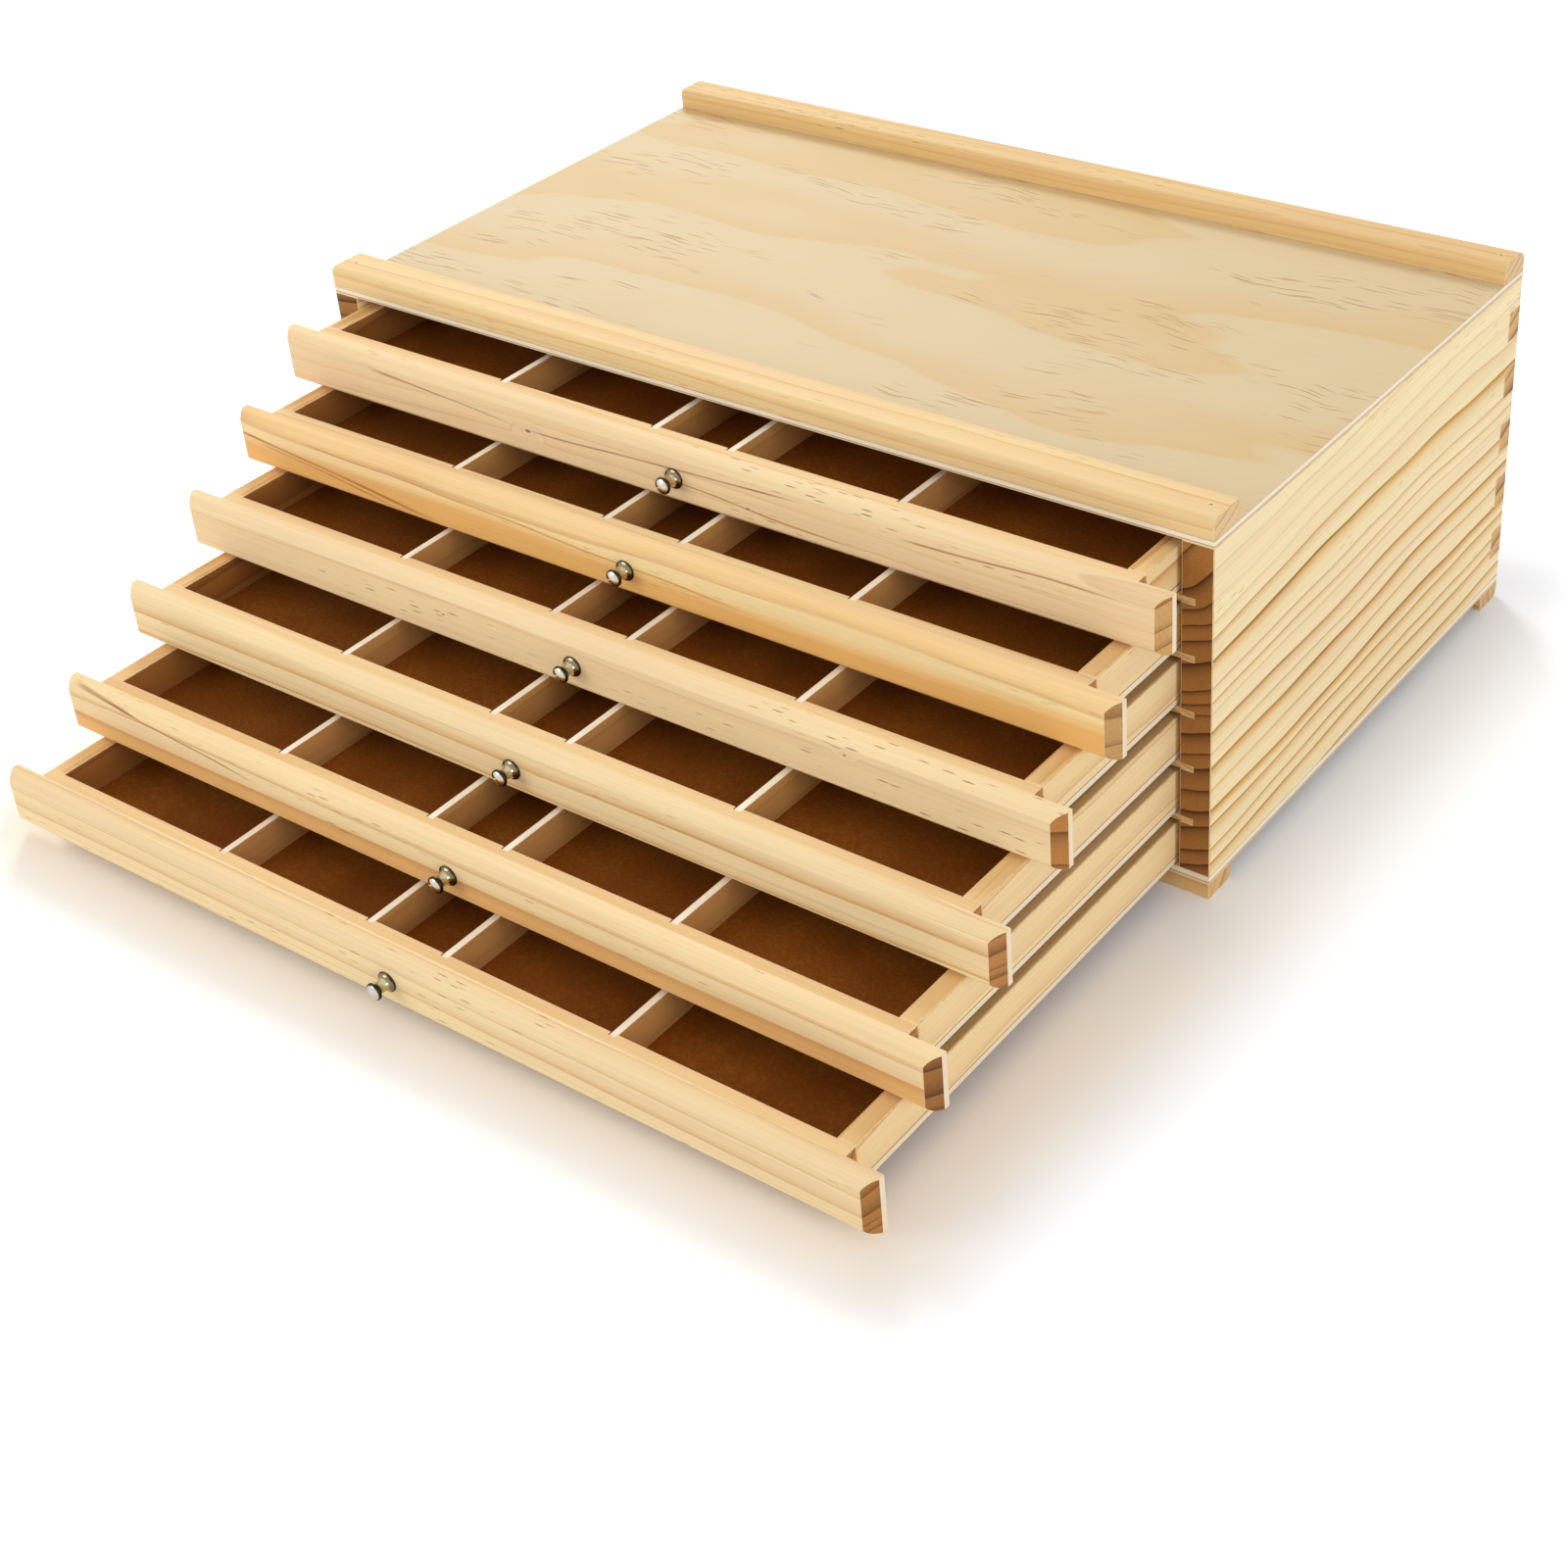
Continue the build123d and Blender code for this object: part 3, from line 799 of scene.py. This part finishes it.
pairs = strip_pairs()
strip_half, strip_inner = 1.4, 17.5  # half a strip's thickness; the inner pair's distance from the middle
for n in range(1, tray_count + 1):
    drawer = f"drawer{n}"
    eased(
        f"{drawer}_tray_bottom", f"{drawer}_bottom", drawer, hardboard,
        edge=0.15, edge_wood=hardboard,
    )
    for side in ("left", "right"):
        eased(f"{drawer}_wall_{side}", f"{drawer}_side_{side}", drawer, wall_pine[n, side])
    eased(f"{drawer}_wall_front", f"{drawer}_front_wall", drawer, cross_pine)
    eased(f"{drawer}_wall_back", f"{drawer}_back", drawer, cross_pine)
    low, high = (corner * 1000 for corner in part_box(f"{drawer}_dividers"))
    outline = [(-strip_half, low.y), (strip_half, low.y), (strip_half, high.y), (-strip_half, high.y)]
    repeated(
        f"{drawer}_divider_strips", strip_mesh("divider", outline, low.z, high.z, rounded=0.25), pairs,
        {"Inner": strip_inner / 1000, "Outer": (high.x - strip_half) / 1000, "Finish": strip_wood},
        drawer, "divider_board", f"{drawer}_dividers",
    )


# Front boards
# One pine board to each tray, 400 mm long, glued over its front wall. A cutter has rounded the
# upper and lower edges of the face, and the ends are bevelled and show their brown end grain.

# Planed pine, each board its own: where it came from in the log, the width of its rings, and its
# pitch lines and pin knots. The second and the fifth are orange heartwood in their lower part.
boards = (
    dict(
        pith=(-60, 190), ring=9, wobble=8, wave=(170, 60), pale="#F0D4A9", late="#C98F50", contrast=0.35,
        flecks=0.8, knots=((-70, 127.5, 1.1), (33, 124.0, 0.7)), end_pale="#CFA066", end_late="#9A6A36",
        streaks=(
            (-152, 134.2, -70, 127.2, 0.5, "#8A4E1C"), (-72, 127.6, 62, 133.2, 0.5, "#8A4E1C"),
            (-156, 134.4, -120, 131.5, 1.1, "#B9783A"), (96, 131.0, 190, 134.5, 0.6, "#A0642C"),
            (-10, 126.4, 84, 121.2, 0.45, "#A87038"),
        ),
    ),
    dict(
        pith=(-80, 250), ring=12, wobble=10, wave=(230, 70), shift=210, pale="#F6DBA6", late="#DD9F50",
        contrast=0.45, flecks=0.3, heart=(111.0, "#EDB870", 8.0), end_pale="#C79A60", end_late="#986C3C",
        streaks=(
            (-204, 108.5, -88, 97.0, 0.9, "#A85E22"), (-190, 105.5, -106, 96.5, 0.5, "#B06A2C"),
            (-165, 112.5, 60, 104.5, 0.6, "#CC8E48"),
        ),
    ),
    dict(
        pith=(-110, 30), ring=9, wobble=6, wave=(260, 60), shift=420, pale="#F2D8AD", late="#CFA064",
        contrast=0.3, flecks=1.0, knots=((-62, 84.0, 0.6), (118, 88.0, 0.6)),
        end_pale="#B97C3E", end_late="#744416",
    ),
    dict(
        pith=(-150, 140), ring=4.6, wobble=4, wave=(280, 60), shift=630, pale="#F1DAAE", late="#D69E52",
        contrast=0.7, end_pale="#B98248", end_late="#7E4E22",
    ),
    dict(
        pith=(-170, 120), ring=7.0, wobble=1.6, wave=(220, 90), shift=840, pale="#F3DAAE", late="#D2933F",
        contrast=0.6, flecks=0.6, heart=(38.0, "#E8B878", 0.9), end_pale="#9E6A34", end_late="#5E3410",
        streaks=((-198, 49.0, -90, 40.5, 0.6, "#8E5420"), (-196, 50.5, 120, 51.4, 0.7, "#B98040")),
    ),
    dict(
        pith=(-230, 60), ring=4.4, wobble=3, wave=(300, 60), shift=990, pale="#EFD7AD", late="#D29A4E",
        flecks=0.6, end_pale="#AF783C", end_late="#784A1E",
    ),
)
# The square ends of each front board get a pale painted highlight (end_face).
for n, cut in enumerate(boards, start=1):
    face = planed_pine(f"planed_pine_front_{n}", end_face="#F1DFC2", **cut)
    eased(f"drawer{n}_front_board", f"drawer{n}_front", f"drawer{n}", face, edge=0.35)


# Knobs
# Small turned knobs of brass with bright nickel plate, one screwed through the middle of each
# front board: a flared foot, a narrow neck and a domed head.

knob_length = 7.6  # out of the board, in mm


def plated_nickel():
    """Polished nickel plate: a warm mirror, with the faint waviness of the turned brass under it."""
    made, tree = blank("polished_nickel_plate")
    where = add(tree, "ShaderNodeTexCoord")
    fine = add(
        tree, "ShaderNodeTexNoise", None,
        {"Vector": where.outputs["Object"], "Scale": 900.0, "Detail": 3.0},
    )
    # Painted reflections and shade: bright on the face and the neck, dull brown in the groove behind
    # the head and round the rims. The attribute says how far out from the board a point is.
    out = add(tree, "ShaderNodeAttribute", {"attribute_name": "reach"})
    part = add(
        tree, "ShaderNodeMapRange", None,
        {"Value": out.outputs["Fac"], "From Min": 0.0, "From Max": knob_length},
    )
    painted_reflection_bands = add(
        tree, "ShaderNodeValToRGB",
        {"stops": [
            (0.0, "#332C21"), (0.07, "#3D3529"), (0.1, "#8E8164"), (0.19, "#93866A"), (0.27, "#CEC3A6"),
            (0.5, "#C3B794"), (0.6, "#A09270"), (0.66, "#40382B"), (0.73, "#302A20"), (0.86, "#362F24"),
            (0.895, "#3D3629"), (0.92, "#DFD9CC"), (1.0, "#ECE7DD"),
        ]},
        {"Fac": part},
    )
    speck = add(tree, "ShaderNodeMath", {"operation": "MULTIPLY_ADD"}, {0: fine, 1: 0.16, 2: 0.9})
    tint = add(tree, "ShaderNodeMix", colour_wash, {0: 1.0, 6: painted_reflection_bands, 7: speck})
    surfaced(tree, tint, fine, (0.04, 0.1), fine, 0.1, 0.00003, {"Metallic": 1.0})
    return made


nickel = plated_nickel()
# Half the knob's section: reach out from the board, and radius, in mm.
turning = (
    (-6.0, 0.0), (-6.0, 1.5), (0.0, 1.5),  # the shank
    (0.0, 3.85), (0.1, 3.97), (0.3, 4.0), (0.5, 3.93), (0.66, 3.55), (0.9, 3.08), (1.3, 2.66),  # the foot
    (1.8, 2.4), (2.5, 2.24), (3.2, 2.14), (3.9, 2.08), (4.5, 2.08), (4.85, 2.14), (5.15, 2.35),  # the neck
    (5.4, 2.7), (5.6, 3.02), (5.75, 3.22), (5.92, 3.3), (6.4, 3.3), (6.6, 3.2), (6.7, 3.04),  # the head
    (6.84, 2.85), (7.05, 2.5), (7.25, 2.05), (7.42, 1.5), (7.55, 0.8), (knob_length, 0.0),  # its dome
)
steps = 48
for n in range(1, tray_count + 1):
    low, high = (corner * 1000 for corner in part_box(f"drawer{n}_knob"))
    middle, level = (low.x + high.x) / 2, (low.z + high.z) / 2
    board_face = low.y + knob_length
    form = bmesh.new()
    reaches = form.verts.layers.float.new("reach")
    circles = []
    for reach, radius in turning:
        circle = []
        for s in range(steps if radius else 1):
            turn = 2 * math.pi * s / steps
            circle.append(form.verts.new((
                (middle + radius * math.cos(turn)) / 1000, (board_face - reach) / 1000,
                (level + radius * math.sin(turn)) / 1000,
            )))
            circle[-1][reaches] = reach
        circles.append(circle)
    for one, two in zip(circles, circles[1:]):
        for s in range(steps):
            t = (s + 1) % steps
            if len(one) == 1:
                form.faces.new((one[0], two[s], two[t]))
            elif len(two) == 1:
                form.faces.new((one[s], two[0], one[t]))
            else:
                form.faces.new((one[s], two[s], two[t], one[t]))
    bmesh.ops.recalc_face_normals(form, faces=form.faces)
    mesh = bpy.data.meshes.new(f"drawer{n}_turned_knob")
    form.to_mesh(mesh)
    form.free()
    mesh.materials.append(nickel)
    mesh.shade_smooth()
    mesh.set_sharp_from_angle(angle=math.radians(50))
    knob = put(f"drawer{n}_turned_knob", mesh)
    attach(knob, f"drawer{n}")
    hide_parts(f"drawer{n}_knob")


# Studio
# A pale floor, a soft lamp over the left back corner, two weaker ones to the right and in front,
# and the camera where the photograph was taken from.

# White paper, matt, with painted light in its colour: warm under and near the open drawers, as
# painted bounce light from the wood, and cooler elsewhere. Past a few centimetres from the box
# it also glows, for the camera alone, so that it ends in plain white; the glow is weaker close
# to the box, which paints how the shade round the box fades out.
paper, tree = blank("white_paper_floor")
ray = add(tree, "ShaderNodeLightPath")
# How far a place is from the rectangle that the box and its open drawers stand over, in metres.
stand_middle, stand_half = (0.0, 0.0142, 0.0), (0.2, 0.2208, 0.0)
place = add(tree, "ShaderNodeTexCoord")
offset = add(
    tree, "ShaderNodeVectorMath", {"operation": "SUBTRACT"},
    {0: place.outputs["Object"], 1: stand_middle},
)
mirrored = add(tree, "ShaderNodeVectorMath", {"operation": "ABSOLUTE"}, {0: offset})
past = add(tree, "ShaderNodeVectorMath", {"operation": "SUBTRACT"}, {0: mirrored, 1: stand_half})
outside = add(tree, "ShaderNodeVectorMath", {"operation": "MAXIMUM"}, {0: past, 1: (0.0, 0.0, 0.0)})
gap = add(tree, "ShaderNodeVectorMath", {"operation": "LENGTH"}, {0: outside})
# Painted shade: the glow is weak at the box and grows over 65 mm, so the floor is darker close to the box.
brighter = add(
    tree, "ShaderNodeMapRange", soft_step,
    {"Value": gap, "From Min": 0.0, "From Max": 0.065, "To Min": 0.06, "To Max": 0.42},
)
# Painted bounce light: the paper is warm near and in front of the drawers, and cooler further off and behind.
cooler = add(tree, "ShaderNodeMapRange", soft_step, {"Value": gap, "From Max": 0.05})
depth = add(tree, "ShaderNodeSeparateXYZ", None, {0: place.outputs["Object"]})
behind = add(
    tree, "ShaderNodeMapRange", soft_step,
    {"Value": depth.outputs["Y"], "From Min": -0.12, "From Max": 0.06},
)
cool = add(tree, "ShaderNodeMath", {"operation": "MAXIMUM"}, {0: cooler, 1: behind})
tint = add(tree, "ShaderNodeMix", colour_mix, {0: cool, 6: linear("#F7F0E6"), 7: linear("#E8EDF6")})
sheet = add(tree, "ShaderNodeBsdfDiffuse", None, {"Color": tint})
glow = add(tree, "ShaderNodeEmission", None, {"Color": (1.0, 1.0, 1.0, 1.0), "Strength": brighter})
lifted = add(tree, "ShaderNodeAddShader", None, {0: sheet, 1: glow})
seen = add(tree, "ShaderNodeMixShader", None, {0: ray.outputs["Is Camera Ray"], 1: sheet, 2: lifted})
add(tree, "ShaderNodeOutputMaterial", None, {"Surface": seen})
form = bmesh.new()
bmesh.ops.create_grid(form, x_segments=1, y_segments=1, size=4.0)
mesh = bpy.data.meshes.new("floor")
form.to_mesh(mesh)
form.free()
mesh.materials.append(paper)
floor = put("floor", mesh)

# A pale room, which is plain white to the camera and in reflections.
world = bpy.data.worlds.new("white room")
bpy.context.scene.world = world
world.use_nodes = True
tree = world.node_tree
tree.nodes.clear()
ray = add(tree, "ShaderNodeLightPath")
room = add(tree, "ShaderNodeBackground", None, {"Color": linear("#FFFDFA"), "Strength": 0.72})
white = add(tree, "ShaderNodeBackground", None, {"Color": (1.0, 1.0, 1.0, 1.0), "Strength": 1.0})
direct = add(
    tree, "ShaderNodeMath", {"operation": "MAXIMUM"},
    {0: ray.outputs["Is Camera Ray"], 1: ray.outputs["Is Glossy Ray"]},
)
seen = add(tree, "ShaderNodeMixShader", None, {0: direct, 1: room, 2: white})
add(tree, "ShaderNodeOutputWorld", None, {"Surface": seen})


def soft_lamp(name, place, target, size, watts, colour):
    """A square soft box that points at a place."""
    light = bpy.data.lights.new(name, "AREA")
    light.shape = "SQUARE"
    light.size = size
    light.energy = watts
    light.color = linear(colour)[:3]
    lamp = put(name, light)
    lamp.location = place
    lamp.rotation_euler = (Vector(target) - Vector(place)).to_track_quat("-Z", "Y").to_euler()


soft_lamp("back_left", (-1.4, 1.4, 1.55), (0, 0, 0.05), size=0.74, watts=22.5, colour="#FFFDF8")
soft_lamp("right", (1.9, -0.5, 0.6), (0, 0, 0.08), size=0.9, watts=8.6, colour="#FFFCF6")
soft_lamp("front_left", (-0.85, -1.35, 0.6), (0, -0.1, 0.08), size=0.8, watts=6.4, colour="#FFFCF6")

# The camera, found from the corners of the case and the drawers: its angles in degrees, its
# distance and the point it looks at in metres, and its focal length and image centre in pixels.
azimuth, elevation, roll = (math.radians(a) for a in (38.22, 32.74, -4.05))
distance, aim = 0.88816, Vector((0.08111, -0.0384, 0.08))
focal, across, down, frame_side = 2608.35, 885.04, 666.61, 1600
back = Vector((
    math.sin(azimuth) * math.cos(elevation), -math.cos(azimuth) * math.cos(elevation), math.sin(elevation),
))
right = (-back).cross(Vector((0, 0, 1))).normalized()
up = right.cross(-back)
image_x = math.cos(roll) * right + math.sin(roll) * up
image_y = -math.sin(roll) * right + math.cos(roll) * up
lens = bpy.data.cameras.new("camera")
lens.sensor_width = 36.0
lens.lens = focal * lens.sensor_width / frame_side
lens.shift_x = (frame_side / 2 - across) / frame_side
lens.shift_y = (down - frame_side / 2) / frame_side
lens.clip_start = 0.01
lens.clip_end = 50
camera = put("camera", lens)
stand = aim + distance * back
camera.matrix_world = Matrix((
    (image_x.x, image_y.x, back.x, stand.x),
    (image_x.y, image_y.y, back.y, stand.y),
    (image_x.z, image_y.z, back.z, stand.z),
    (0, 0, 0, 1),
))
bpy.context.scene.camera = camera
bpy.context.scene.view_settings.view_transform = "Standard"
